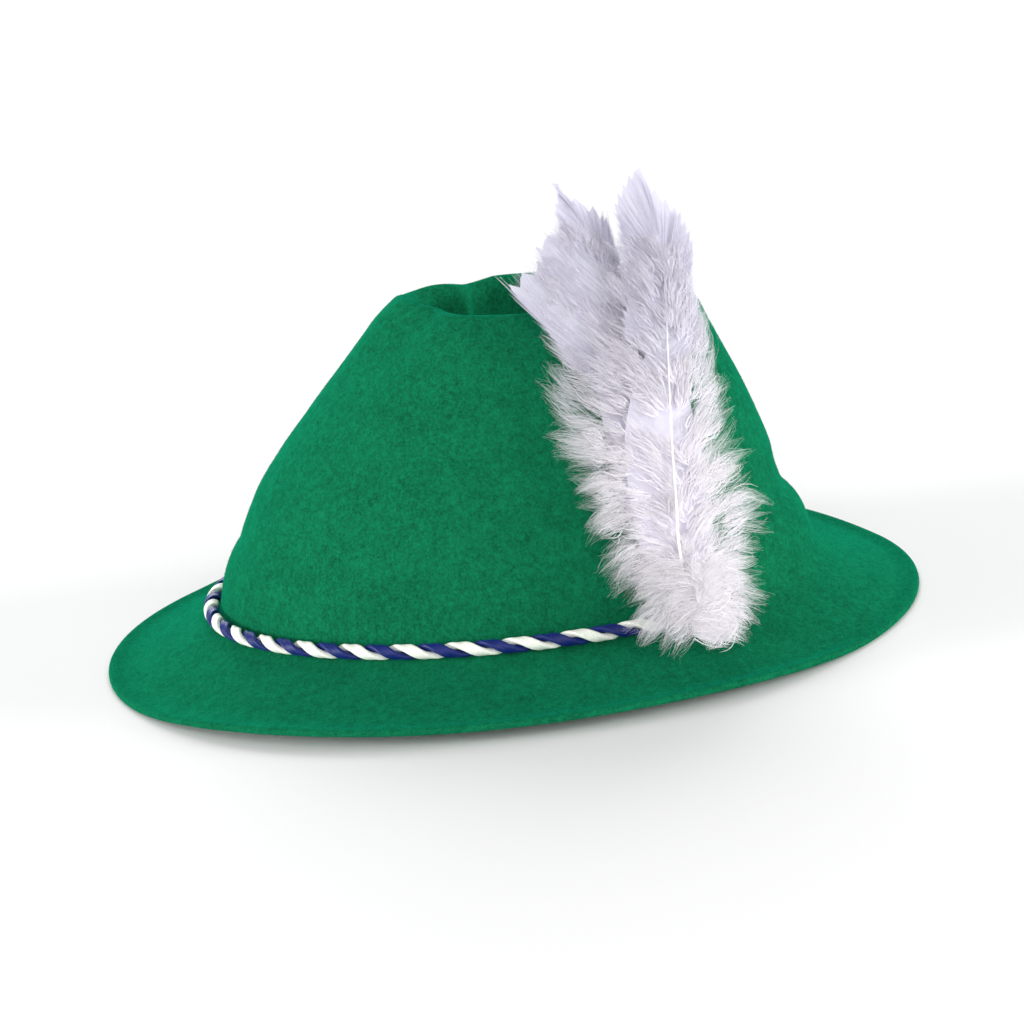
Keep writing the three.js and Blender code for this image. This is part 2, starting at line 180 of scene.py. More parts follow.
def oval(angle, half_width, half_front, half_back, middle, height):
    """Points of an oval with its own half lengths towards the front and the back"""
    forward = np.cos(angle)
    half = np.where(forward > 0, half_front, half_back)
    across = half_width * np.sin(angle)
    return np.stack([across, middle - half * forward, height + 0 * across], -1)


def foot_level(angle):
    return FOOT_HEIGHT - FOOT_DROP * np.cos(angle) ** 2


def crest_level(y):
    share = 2 * (CROWN_SHIFT + CREST_SETBACK - y) / CREST_LENGTH
    dip = CREST_DIP * np.maximum(1 - share**2, 0)
    return FOOT_HEIGHT + CROWN_HEIGHT + CREST_TILT * share / 2 - dip


def edge_level(angle):
    return FELT_THICKNESS + SIDE_LIFT * smooth_step(np.abs(np.sin(angle)), SIDE_LIFT_SINE, 1)


def pinched(points, angle, place):
    """The pinches press the felt in towards the middle of the crown, and the crest sags beside them"""
    inwards = 0
    drop = 0
    turned_by = np.degrees(np.arctan2(np.sin(angle), np.cos(angle)))
    for row in PINCH_ROWS:
        middle = row["angle"] - row["swing"] * max(row["place"] - place, 0)
        aside = (turned_by - middle) / row["spread"]
        along = (place - row["place"]) / row["reach"]
        pressed = row["inwards"] * np.exp(-(aside**2) - along**2)
        inwards = inwards + pressed
        drop = drop + row["pull"] * pressed
    for row in SAG_ROWS:
        drop = drop + row["drop"] * np.exp(-(((turned_by - row["angle"]) / row["spread"]) ** 2))
    drop = drop * smooth_step(place, PINCH_PLACES["pull"], 1)
    return points + np.stack([-inwards * np.sin(angle), inwards * np.cos(angle), -drop], -1)


def wall_point(angle, rise):
    front = mix(crest_front, foot_half_length, read_column(WALL_ROWS, "rise", rise, "front"))
    back = mix(crest_back, foot_half_length, read_column(WALL_ROWS, "rise", rise, "back"))
    side = mix(CREST_WIDTH / 2, foot_half_width, read_column(WALL_ROWS, "rise", rise, "side"))
    top = crest_level(oval(angle, 0, crest_front, crest_back, CROWN_SHIFT, 0)[..., 1])
    height = mix(foot_level(angle), top, rise)
    return pinched(oval(angle, side, front, back, CROWN_SHIFT, height), angle, rise)


def brim_point(angle, reach):
    half = BRIM_LENGTH / 2
    foot = wall_point(angle, 0)
    points = mix(foot, oval(angle, BRIM_WIDTH / 2, half, half, 0, edge_level(angle)), reach)
    share = read_column(BRIM_ROWS, "reach", reach, "height")
    points[..., 2] = mix(edge_level(angle), foot[..., 2], share)
    return points


def corner_point(angle):
    """The rounded corner between wall and brim"""
    above = wall_point(angle, FOOT_ROUNDING / CROWN_HEIGHT)
    beside = brim_point(angle, FOOT_ROUNDING / brim_reach)
    return (above + beside + 2 * wall_point(angle, 0)) / 4


def crest_point(angle, turn):
    """The roll over the crest, drawn in by the radius as it turns"""
    inset = CREST_RADIUS * (1 - np.cos(np.radians(turn)))
    drop = CREST_RADIUS * (1 - np.sin(np.radians(turn)))
    halves = [half - inset for half in (CREST_WIDTH / 2, crest_front, crest_back)]
    points = oval(angle, *halves, CROWN_SHIFT, 0)
    points[..., 2] = crest_level(points[..., 1]) - drop
    return pinched(points, angle, PINCH_PLACES["crest"] + turn / PINCH_PLACES["crest_degrees"])


def dent_point(angle, inset, depth):
    """The dent from the inner foot of the roll to the crease along its floor"""
    roll = 2 * CREST_RADIUS
    side = mix(CREST_WIDTH / 2 - roll, DENT_FLOOR_WIDTH / 2, inset)
    front = mix(crest_front - roll, crest_front * DENT_FLOOR_FRONT, inset)
    back = mix(crest_back - roll, crest_back * DENT_FLOOR_BACK, inset)
    points = oval(angle, side, front, back, CROWN_SHIFT, 0)
    points[..., 2] = crest_level(points[..., 1]) - mix(CREST_RADIUS / 2, DENT_DEPTH, depth)
    return pinched(points, angle, PINCH_PLACES["dent"] + PINCH_PLACES["dent_span"] * inset)


def margin_point(angle, inset, height):
    half = BRIM_LENGTH / 2 - inset
    return oval(angle, BRIM_WIDTH / 2 - inset, half, half, 0, height)


def waves(points, amount, length, seed):
    """A smooth unevenness of about the given height and wavelength"""
    draws = np.random.default_rng(seed)
    total = 0
    for _ in range(WAVE_COUNT):
        way = unit(draws.normal(size=3)) * 2 * np.pi / (length * draws.uniform(*WAVE_STRETCH))
        total = total + np.sin(points @ way + draws.uniform(0, 2 * np.pi))
    return amount * total / np.sqrt(WAVE_COUNT)


def grid_faces(rows, columns, around=True):
    """Quads between neighbouring rows of points"""
    count = columns if around else columns - 1
    i, j = np.meshgrid(np.arange(rows - 1), np.arange(count), indexing="ij")
    step = (j + 1) % columns
    above, below = i * columns, (i + 1) * columns
    corners = [above + j, below + j, below + step, above + step]
    return np.stack(corners, -1).reshape(-1, 4)


def closed_tube(rings, place, facings=None):
    """The parts of a tube through rings of points, with a face over each end"""
    over = np.arange(rings.shape[1])[None, :]
    stretches = [
        (slice(None), grid_faces(*rings.shape[:2])),
        (slice(0, 1), over),
        (slice(-1, None), over[:, ::-1]),
    ]
    if facings is None:
        return [(rings[rows], faces, place) for rows, faces in stretches]
    return [(rings[rows], faces, place, facings[rows]) for rows, faces in stretches]


def make_piece(name, parts, finishes):
    """One mesh from parts in millimetres: their points, their faces, the place of their finish and,
    on soft parts, the way each point's shading faces"""
    points = np.concatenate([part[0].reshape(-1, 3) for part in parts]) * MILLIMETRE
    starts = np.cumsum([0] + [part[0].size // 3 for part in parts])
    corners = np.concatenate([(part[1] + start).ravel() for part, start in zip(parts, starts)])
    counts = np.concatenate([np.full(len(part[1]), part[1].shape[1]) for part in parts])
    places = np.concatenate([np.full(len(part[1]), part[2]) for part in parts])
    mesh = bpy.data.meshes.new(name)
    mesh.vertices.add(len(points))
    mesh.vertices.foreach_set("co", points.astype(np.float32).ravel())
    mesh.loops.add(len(corners))
    mesh.loops.foreach_set("vertex_index", corners.astype(np.int32))
    mesh.polygons.add(len(counts))
    mesh.polygons.foreach_set("loop_start", (np.cumsum(counts) - counts).astype(np.int32))
    mesh.polygons.foreach_set("material_index", places.astype(np.int32))
    mesh.polygons.foreach_set("use_smooth", np.ones(len(counts), bool))
    for finish in finishes:
        mesh.materials.append(finish)
    mesh.update(calc_edges=True)
    if all(len(part) > 3 for part in parts):
        facings = np.concatenate([part[3].reshape(-1, 3) for part in parts])
        mesh.normals_split_custom_set_from_vertices(facings.tolist())
    piece = bpy.data.objects.new(name, mesh)
    bpy.context.scene.collection.objects.link(piece)
    return piece


def linear(red, green, blue):
    """A shader colour from the 0 to 255 values of a screen"""
    screen = np.array([red, green, blue]) / 255
    light = np.where(screen < 0.04045, screen / 12.92, ((screen + 0.055) / 1.055) ** 2.4)
    return (*light.tolist(), 1.0)


class Signal:
    """A shader socket. Arithmetic with it adds Math nodes, and node() adds any other node."""

    def __init__(self, tree, socket=None):
        self.tree = tree
        self.socket = socket

    def node(self, kind, settings=None, inputs=None, output=0):
        made = self.tree.nodes.new(kind)
        for name, value in (settings or {}).items():
            setattr(made, name, value)
        for name, value in (inputs or {}).items():
            if isinstance(value, Signal):
                self.tree.links.new(value.socket, made.inputs[name])
            else:
                made.inputs[name].default_value = value
        return Signal(self.tree, made.outputs[output] if made.outputs else None)

    def maths(self, operation, *terms):
        return self.node("ShaderNodeMath", {"operation": operation}, dict(enumerate(terms)))

    def blend(self, low, high):
        """A colour between two colours, by this value"""
        inputs = {0: self, 6: low, 7: high}
        return self.node("ShaderNodeMix", {"data_type": "RGBA"}, inputs, output=2)

    def between(self, low, high):
        """This value spread over 0 to 1 from low to high, and held there"""
        inputs = {"From Min": low, "From Max": high}
        return self.node("ShaderNodeMapRange", {}, {"Value": self, **inputs})

    def __add__(self, other):
        return self.maths("ADD", self, other)

    def __mul__(self, other):
        return self.maths("MULTIPLY", self, other)

    def __sub__(self, other):
        return self.maths("SUBTRACT", self, other)

    def __rsub__(self, other):
        return self.maths("SUBTRACT", other, self)

    __radd__ = __add__
    __rmul__ = __mul__


def new_finish(name):
    material = bpy.data.materials.new(name)
    material.use_nodes = True
    material.node_tree.nodes.clear()
    return material, Signal(material.node_tree)


def show(signal, inputs):
    """Ends a finish with one Principled shader"""
    surface = signal.node("ShaderNodeBsdfPrincipled", {}, inputs)
    signal.node("ShaderNodeOutputMaterial", {}, {"Surface": surface})


def noise(signal, place, grain, detail=3.0, roughness=0.6, distortion=0.0):
    """Noise whose lumps are about one grain across, in metres"""
    inputs = {"Vector": place, "Scale": 1 / grain, "Detail": detail, "Roughness": roughness}
    return signal.node("ShaderNodeTexNoise", {}, {**inputs, "Distortion": distortion})


# Dyed wool felt: a matt green nap, mottled where the fibres lie one way or another
felt_finish, felt = new_finish("green_wool_felt")
felt_place = felt.node("ShaderNodeTexCoord", output=3)
cloudy = noise(felt, felt_place, 0.014, detail=4)
nap_patches = noise(felt, felt_place, 0.0024, detail=4, roughness=0.65, distortion=0.4)
nap_grain = noise(felt, felt_place, 0.0008, roughness=0.7)
felt_tone = 0.15 * cloudy + 0.35 * nap_patches + 0.5 * nap_grain
felt_colour = felt_tone.between(0.38, 0.62).blend(linear(12, 78, 50), linear(18, 119, 80))
felt_height = 0.6 * nap_patches + 0.4 * nap_grain
felt_relief = {"Strength": 0.5, "Distance": 0.0006, "Height": felt_height}
felt_inputs = {
    "Base Color": felt_colour,
    "Roughness": 0.95,
    "Specular IOR Level": 0.0,
    "Sheen Weight": 0.26,
    "Sheen Roughness": 0.4,
    "Sheen Tint": linear(0, 200, 160),
    "Normal": felt.node("ShaderNodeBump", {}, felt_relief),
}
show(felt, felt_inputs)

angles = np.linspace(0, 2 * np.pi, FELT_COLUMNS, endpoint=False)
control_rings = [dent_point(angles, row["inset"], row["depth"]) for row in reversed(DENT_ROWS)]
control_rings += [crest_point(angles, turn) for turn in reversed(CREST_TURNS)]
control_rings += [wall_point(angles, rise) for rise in WALL_RISES]
control_rings += [wall_point(angles, FOOT_ROUNDING / CROWN_HEIGHT), corner_point(angles)]
control_rings += [brim_point(angles, FOOT_ROUNDING / brim_reach)]
control_rings += [brim_point(angles, row["reach"]) for row in BRIM_ROWS[1:-1]]
control_rings += [margin_point(angles, BRIM_MARGIN, edge_level(angles))]
control_rings += [margin_point(angles, EDGE_ROUNDING, edge_level(angles))]
control_rings = np.array(control_rings)
ring_steps = np.linalg.norm(np.diff(control_rings, axis=0), axis=-1).mean(axis=1)
ring_places = np.concatenate([[0], np.cumsum(ring_steps)])
ring_count = len(control_rings)
fine_places = np.interp(
    np.linspace(0, ring_count - 1, (ring_count - 1) * FELT_REFINING + 1),
    np.arange(ring_count),
    ring_places,
)
outer = hermite(ring_places, control_rings, fine_places)
ledge_row = FELT_REFINING * (len(DENT_ROWS) + len(CREST_TURNS) + WALL_RISES.index(LEDGE_RISE))
from_ledge = (np.arange(len(outer)) - ledge_row) / LEDGE_SPREAD
groove = LEDGE_GROOVE * np.exp(-(from_ledge**2))[:, None, None]
outer -= groove * unit(outer * [1, 1, 0])


def grid_normals(grid):
    """Outward normals of rings that run from the dent's floor to the brim's edge"""
    down = np.gradient(grid, axis=0)
    round_way = np.roll(grid, -1, axis=1) - np.roll(grid, 1, axis=1)
    return unit(np.cross(down, round_way))


felt_normals = grid_normals(outer)
unevenness = sum(waves(outer, **row) for row in UNEVENNESS)
settled = smooth_step(fine_places[-1] - fine_places, 0, UNEVENNESS_FADE).reshape(-1, 1)
outer = outer + (unevenness * settled)[..., None] * felt_normals
felt_normals = grid_normals(outer)
inner = outer - FELT_THICKNESS * felt_normals
inner[..., 2] = np.maximum(inner[..., 2], 0)
closing = np.array(CLOSING_SHARES).reshape(-1, 1, 1)
floor_rings = mix(outer[:1].mean(axis=1, keepdims=True), outer[:1], closing)
under_rings = mix(inner[:1].mean(axis=1, keepdims=True), inner[:1], closing[::-1])
edge_rings = [
    margin_point(
        angles,
        EDGE_ROUNDING * (1 - np.cos(turn)),
        edge_level(angles) + FELT_THICKNESS / 2 * (np.sin(turn) - 1),
    )
    for turn in np.radians(EDGE_TURNS)
]
felt_rings = np.concatenate([floor_rings, outer, edge_rings, inner[::-1], under_rings])
felt_piece = make_piece("blocked_felt", closed_tube(felt_rings, 0), [felt_finish])
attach(felt_piece, "root")
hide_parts("felt_body")

# Nap: the loose ends of wool that stand off the felt all over, too fine to be felt as threads.
# Each is a single tapered hair, rooted in the outer face of the felt.
NAP_HAIRS = 90000
NAP_LENGTHS = (0.5, 1.5)
NAP_WIDTH = 0.07
NAP_LIFT = 0.35
NAP_SEED = 11


def nap_hairs(grid, normals, count, seed):
    """Tapered hairs rooted all over a grid of points, thickest where the grid's cells are large"""
    draws = np.random.default_rng(seed)
    next_column = np.roll(grid, -1, axis=1)
    sides = next_column[:-1] - grid[:-1]
    area = np.linalg.norm(np.cross(grid[1:] - grid[:-1], sides), axis=-1)
    chosen = draws.choice(area.size, size=count, p=(area / area.sum()).ravel())
    i, j = np.divmod(chosen, grid.shape[1])
    down, round_way = draws.random((2, count, 1))
    here = mix(grid[i, j], grid[i + 1, j], down)
    beside = mix(next_column[i, j], next_column[i + 1, j], down)
    root = mix(here, beside, round_way)
    normal = normals[i, j]
    way = draws.normal(size=(count, 3))
    way = unit(way - (way * normal).sum(-1, keepdims=True) * normal)
    lift = NAP_LIFT * np.abs(draws.normal(size=(count, 1)))
    length = draws.uniform(*NAP_LENGTHS, size=(count, 1))
    tip = root + unit(way + lift * normal) * length
    across = np.cross(way, normal) * NAP_WIDTH / 2
    hairs = np.stack([root - across, root + across, tip], 1)
    return hairs, np.arange(count * 3).reshape(-1, 3)


nap_points, nap_faces = nap_hairs(outer, felt_normals, NAP_HAIRS, NAP_SEED)
nap_piece = make_piece("felt_nap", [(nap_points, nap_faces, 0)], [felt_finish])
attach(nap_piece, "root")

# Cord: two plies of satin yarn, navy and cream white, twisted round each other and laid in the
# corner of crown and brim. It runs from under the plume round the front and the far side, and its
# end is tucked in at the back.
CORD_DIAMETER = 4.8
CORD_PITCH = 18.5
CORD_CLEARANCE = 0.3
PLY_GAP = 0.4
PLY_ACROSS = 0.81
PLY_YARNS = 9
YARN_RELIEF = 0.06
YARN_TURNS = 2.0
CORD_START = 124
CORD_END = -140
CORD_STEP = 3
PLY_CORNERS = 45
PLY_STEPS_EACH_TURN = 44

# At each end of the cord the plies thin down to this share of their size, over so many steps
TUCK_SHARE = 0.25
TUCK_STEPS = 14

cord_angles = np.radians(np.arange(CORD_START, CORD_END - 1, -CORD_STEP, dtype=float))
wall_way = unit(wall_point(cord_angles, WALL_RISES[-1]) - wall_point(cord_angles, 0))
brim_way = unit(brim_point(cord_angles, BRIM_ROWS[1]["reach"]) - brim_point(cord_angles, 0))
cord_off = unit(wall_way + brim_way) * (CORD_DIAMETER / 2 + CORD_CLEARANCE)
cord_points = corner_point(cord_angles) + cord_off
cord_steps = np.linalg.norm(np.diff(cord_points, axis=0), axis=-1)
cord_places = np.concatenate([[0], np.cumsum(cord_steps)])
cord_turns = cord_places[-1] / CORD_PITCH


def cord_ply(start_turn):
    """One oval ply beside the cord's axis, with the ridges of its yarns running round it"""
    steps = int(cord_turns * PLY_STEPS_EACH_TURN)
    along = np.linspace(0, 1, steps + 1)
    middle = hermite(cord_places, cord_points, along * cord_places[-1])
    forward = unit(np.gradient(middle, axis=0))
    side = unit(np.cross([0, 0, 1], forward))
    up = np.cross(forward, side)
    turn = 2 * np.pi * (start_turn + cord_turns * along)[:, None]
    out = side * np.cos(turn) + up * np.sin(turn)
    across = np.cross(forward, out)
    radius = CORD_DIAMETER / 2
    thick = (radius - PLY_GAP / 4) / 2
    corner = np.linspace(0, 2 * np.pi, PLY_CORNERS, endpoint=False)
    ridge = YARN_RELIEF * np.abs(np.sin(PLY_YARNS / 2 * corner[None, :] + YARN_TURNS * turn))
    from_end = np.minimum(along, 1 - along) * steps
    tuck = np.minimum(1, from_end / TUCK_STEPS + TUCK_SHARE)[:, None]
    out_by = (radius - thick + (thick - YARN_RELIEF + ridge) * np.cos(corner)) * tuck
    across_by = (PLY_ACROSS * radius - YARN_RELIEF + ridge) * np.sin(corner) * tuck
    rings = middle[:, None] + out[:, None] * out_by[..., None] + across[:, None] * across_by[..., None]
    return closed_tube(rings, 0)


def satin_yarn(name, dark, light, sheen):
    """Rayon yarn: a soft gloss, with streaks of lighter and darker filaments"""
    material, yarn = new_finish(name)
    place = yarn.node("ShaderNodeTexCoord", output=3)
    streaks = noise(yarn, place, 0.0009, detail=4, roughness=0.7, distortion=1.5)
    fluff = noise(yarn, place, 0.00035, detail=2)
    colour = (0.6 * streaks + 0.4 * fluff).between(0.35, 0.65).blend(dark, light)
    bump = yarn.node("ShaderNodeBump", {}, {"Strength": 0.35, "Distance": 0.0002, "Height": fluff})
    inputs = {
        "Base Color": colour,
        "Roughness": 0.42 + 0.2 * fluff,
        "Specular IOR Level": 0.35,
        "Sheen Weight": 0.25,
        "Sheen Roughness": 0.4,
        "Sheen Tint": sheen,
        "Normal": bump,
    }
    show(yarn, inputs)
    return material


PLIES = [
    {"node": "cord_ply_navy", "slot": "cord_navy", "piece": "navy_ply", "start": 0.0,
     "yarn": "navy_satin_yarn", "dark": (2, 15, 70), "light": (12, 38, 124), "sheen": (50, 96, 200)},
    {"node": "cord_ply_white", "slot": "cord_white", "piece": "white_ply", "start": 0.5,
     "yarn": "cream_satin_yarn", "dark": (222, 226, 212), "light": (252, 253, 246),
     "sheen": (255, 255, 255)},
]
for row in PLIES:
    shades = [linear(*row[shade]) for shade in ("dark", "light", "sheen")]
    ply = make_piece(row["piece"], cord_ply(row["start"]), [satin_yarn(row["yarn"], *shades)])
    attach(ply, "root")
    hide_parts(row["node"])

# Feathers: bleached white marabou, two full feathers and a short tuft over their feet. The full ones
# have a quill, a closed vane near the tip and loose down below, and the tuft is down all over. They
# are stitched to the crown behind the tuft.
PLUME_ANGLE = 127
PLUME_LEAN = 26
PLUME_TURN = 32
NEARBY_DEGREES = (-40, 50, 2)
NEARBY_RISES = (0.03, 0.95, 0.02)
TALL = {"length": 146, "width": 50, "thickness": 7, "tilt": 12, "aside": -5, "rise": -2}
SHORT = {"length": 135, "width": 40, "thickness": 5, "tilt": 3, "aside": -7, "rise": 8}
TUFT = {"length": 42, "width": 38, "thickness": 7, "tilt": 0, "aside": -3, "rise": -13}

# How far off the crown each lies, and how far its edge wisps reach left and right past the outline
SHORT["off"] = 0
TALL["off"] = SHORT["thickness"] + CORD_CLEARANCE
TUFT["off"] = SHORT["thickness"] + TALL["thickness"] + 2 * CORD_CLEARANCE
TALL["past"] = (1.08, 0.93)
SHORT["past"] = (1.12, 1.0)
TUFT["past"] = (1.32, 1.12)

# The outlines of the feathers, by share of the length: the spine's bend and the reach to each side
# as shares of the width
TALL["rows"] = [
    {"along": 0.0, "bend": 0.0, "left": 0.16, "right": 0.2},
    {"along": 0.05, "bend": -0.04, "left": 0.38, "right": 0.42},
    {"along": 0.14, "bend": -0.07, "left": 0.5, "right": 0.62},
    {"along": 0.26, "bend": -0.05, "left": 0.6, "right": 0.64},
    {"along": 0.42, "bend": -0.02, "left": 0.66, "right": 0.5},
    {"along": 0.6, "bend": 0.04, "left": 0.52, "right": 0.38},
    {"along": 0.75, "bend": 0.09, "left": 0.36, "right": 0.22},
    {"along": 0.88, "bend": 0.08, "left": 0.3, "right": 0.18},
    {"along": 1.0, "bend": 0.0, "left": 0.08, "right": 0.05},
]
SHORT["rows"] = [
    {"along": 0.0, "bend": 0.0, "left": 0.12, "right": 0.1},
    {"along": 0.1, "bend": 0.05, "left": 0.42, "right": 0.25},
    {"along": 0.3, "bend": 0.12, "left": 0.58, "right": 0.3},
    {"along": 0.5, "bend": 0.19, "left": 0.68, "right": 0.3},
    {"along": 0.68, "bend": 0.23, "left": 0.6, "right": 0.26},
    {"along": 0.85, "bend": 0.18, "left": 0.52, "right": 0.2},
    {"along": 1.0, "bend": 0.0, "left": 0.08, "right": 0.06},
]
TUFT["rows"] = [
    {"along": 0.0, "bend": 0.0, "left": 0.28, "right": 0.26},
    {"along": 0.2, "bend": 0.0, "left": 0.5, "right": 0.46},
    {"along": 0.5, "bend": 0.02, "left": 0.48, "right": 0.42},
    {"along": 0.8, "bend": 0.04, "left": 0.3, "right": 0.28},
    {"along": 1.0, "bend": 0.05, "left": 0.08, "right": 0.08},
]

# The closed vanes near the tips, in the same shares
TALL["vane_rows"] = [
    {"along": 0.62, "bend": 0.045, "left": 0.28, "right": 0.26},
    {"along": 0.75, "bend": 0.09, "left": 0.26, "right": 0.19},
    {"along": 0.84, "bend": 0.09, "left": 0.25, "right": 0.225},
    {"along": 0.92, "bend": 0.06, "left": 0.24, "right": 0.17},
    {"along": 0.97, "bend": 0.03, "left": 0.2, "right": 0.11},
    {"along": 1.0, "bend": 0.0, "left": 0.2, "right": 0.07},
]
SHORT["vane_rows"] = [
    {"along": 0.56, "bend": 0.2, "left": 0.5, "right": 0.2},
    {"along": 0.7, "bend": 0.23, "left": 0.66, "right": 0.2},
    {"along": 0.79, "bend": 0.21, "left": 0.76, "right": 0.16},
    {"along": 0.83, "bend": 0.19, "left": 0.5, "right": 0.16},
    {"along": 0.87, "bend": 0.17, "left": 0.46, "right": 0.18},
    {"along": 0.9, "bend": 0.14, "left": 0.24, "right": 0.2},
    {"along": 0.95, "bend": 0.08, "left": 0.15, "right": 0.16},
    {"along": 1.0, "bend": 0.0, "left": 0.03, "right": 0.03},
]

# How steeply the down's tips rise outwards, in degrees, by height above the plume's foot
TIP_HEIGHTS = [-10, 0, 20, 40, 60, 80, 100, 130]
TIP_RISES = [-60, -42, -20, 0, 18, 38, 50, 60]

lean, turned = np.radians([PLUME_LEAN, PLUME_TURN])
plume_out = np.array([np.cos(lean) * np.cos(turned), np.cos(lean) * np.sin(turned), np.sin(lean)])
plume_side = np.array([-np.sin(turned), np.cos(turned), 0])
plume_up = np.cross(plume_out, plume_side)
plume_foot = corner_point(np.radians(PLUME_ANGLE))
nearby = np.radians(PLUME_ANGLE + np.arange(*NEARBY_DEGREES))
nearest = max(
    ((wall_point(nearby, rise) - plume_foot) @ plume_out).max() for rise in np.arange(*NEARBY_RISES)
)
plume_place = plume_foot + plume_out * (max(nearest, 0) + CORD_CLEARANCE)

# The places of a feather's finishes: inner down, quill, closed vane, edge down and matted down. The
# vane's and the matted down's finishes are darkened with painted shade.
DOWN, QUILL, VANE, EDGE, MATTED = range(5)

# Barbs are tapered ribbons and barbules single tapered hairs
BARB_STEPS = 5
BARB_WIDTH = 0.25
BARB_TAPER = 0.85
BARBULE_WIDTH = 0.085
SOFT_SHADING = 0.5
SHADING_MARGIN = 4


def on_hat(feather, points):
    """Points in a feather's own frame, with its quill end at the origin, moved to the hat"""
    tilt = np.radians(feather["tilt"])
    x = points[..., 0] * np.cos(tilt) + points[..., 1] * np.sin(tilt) + feather["aside"]
    y = points[..., 1] * np.cos(tilt) - points[..., 0] * np.sin(tilt) + feather["rise"]
    z = points[..., 2] + feather["off"]
    return plume_place + x[..., None] * plume_side + y[..., None] * plume_up + z[..., None] * plume_out


def outline(rows, width, along, side):
    """The spine's bend and the reach to one side at shares of a feather's length, in millimetres"""
    left = read_column(rows, "along", along, "left")
    right = read_column(rows, "along", along, "right")
    spine = read_column(rows, "along", along, "bend") * width
    return spine, np.where(side < 0, left, right) * width


def only(points, faces, wobble):
    """The points that some faces stand on, those faces and their share of the wobble"""
    kept, corners = np.unique(faces, return_inverse=True)
    return points[kept], corners.reshape(faces.shape), wobble[kept]


def soft_part(feather, points, faces, wobble, finish):
    """Loose faces on the hat, all turned outwards and shaded as the plume's rounded front is"""
    placed = on_hat(feather, points)
    corners = placed[faces]
    flip = np.cross(corners[:, 1] - corners[:, 0], corners[:, 2] - corners[:, 0]) @ plume_out < 0
    faces = np.where(flip[:, None], faces[:, ::-1], faces)
    along = np.clip(points[:, 1] / feather["length"], 0, 1)
    spine, reach = outline(feather["rows"], feather["width"], along, points[:, 0])
    swing = SOFT_SHADING * np.clip((points[:, 0] - spine) / (reach + SHADING_MARGIN), -1.2, 1.2)
    facing_way = plume_out + swing[:, None] * plume_side + wobble
    return placed, faces, finish, unit(facing_way)


def bent(root, bend, tip, t):
    """Points at the shares t of the curves from root past bend to tip"""
    return (1 - t) ** 2 * root[:, None] + 2 * t * (1 - t) * bend[:, None] + t**2 * tip[:, None]


def ribbons(root, bend, tip, width, roll):
    """Tapered ribbons along curves from root past bend to tip, with the curves' points and ways"""
    t = np.linspace(0, 1, BARB_STEPS)[None, :, None]
    curve = bent(root, bend, tip, t)
    way = unit(np.gradient(curve, axis=1))
    flat = unit(np.cross(way, [0, 0, 1]))
    raised = np.cross(flat, way)
    across = flat * np.cos(roll)[:, None, None] + raised * np.sin(roll)[:, None, None]
    half = width[:, None, None] / 2 * (1 - BARB_TAPER * t**2)
    edges = np.stack([curve - across * half, curve + across * half], 2)
    first = (np.arange(len(root)) * BARB_STEPS)[:, None] + np.arange(BARB_STEPS - 1)[None, :]
    first = 2 * first.ravel()
    faces = np.stack([first, first + 1, first + 3, first + 2], -1)
    return edges.reshape(-1, 3), faces, curve, way


def barbules(curve, way, each, length, draws):
    """Short hairs along both sides of each barb, as single tapered faces"""
    count = len(curve)
    spot = draws.uniform(0.05, 1, size=(count, each)) * (BARB_STEPS - 1)
    low = np.minimum(spot.astype(int), BARB_STEPS - 2)
    rest = (spot - low)[..., None]
    pick = np.arange(count)[:, None]
    root = mix(curve[pick, low], curve[pick, low + 1], rest).reshape(-1, 3)
    forward = way[pick, low].reshape(-1, 3)
    side = draws.normal(size=forward.shape)
    side = unit(side - (side * forward).sum(-1, keepdims=True) * forward)
    reach = draws.uniform(0.4, 1, size=(len(root), 1)) * length
    tip = root + unit(0.8 * forward + side) * reach
    across = unit(np.cross(side, forward)) * BARBULE_WIDTH / 2
    hairs = np.stack([root - across, root + across, tip], 1).reshape(-1, 3)
    return hairs, np.arange(len(hairs)).reshape(-1, 3)


QUILL_RINGS = 60
QUILL_CORNERS = 10
QUILL_TAPER = {"share": 0.8, "power": 0.7}
QUILL_LIFT_PLACES = [0, 0.45, 0.72, 1]


def quill(feather, start, end, thick, lifts):
    """The quill and its shaft, tapering to the tip. Its lifts are its heights in the down at the
    places of QUILL_LIFT_PLACES along the feather."""
    along = np.linspace(start, end, QUILL_RINGS)
    spine = outline(feather["rows"], feather["width"], along, along)[0]
    lift = np.interp(along, QUILL_LIFT_PLACES, lifts)
    middle = np.stack([spine, along * feather["length"], lift], -1)
    taper = QUILL_TAPER["share"] * ((along - start) / (end - start)) ** QUILL_TAPER["power"]
    radius = thick / 2 * (1 - taper)
    corner = np.linspace(0, 2 * np.pi, QUILL_CORNERS, endpoint=False)
    ring = np.stack([np.cos(corner), 0 * corner, np.sin(corner)], -1)
    rings = middle[:, None] + ring[None] * radius[:, None, None]
    facing_way = np.broadcast_to(ring[:, :1] * plume_side + ring[:, 2:] * plume_out, rings.shape)
    return closed_tube(on_hat(feather, rings), QUILL, facing_way)


CORE_RINGS = 40
CORE_CORNERS = 24
CORE_FADE = {"from": 0.1, "to": 0.95, "power": 0.35}


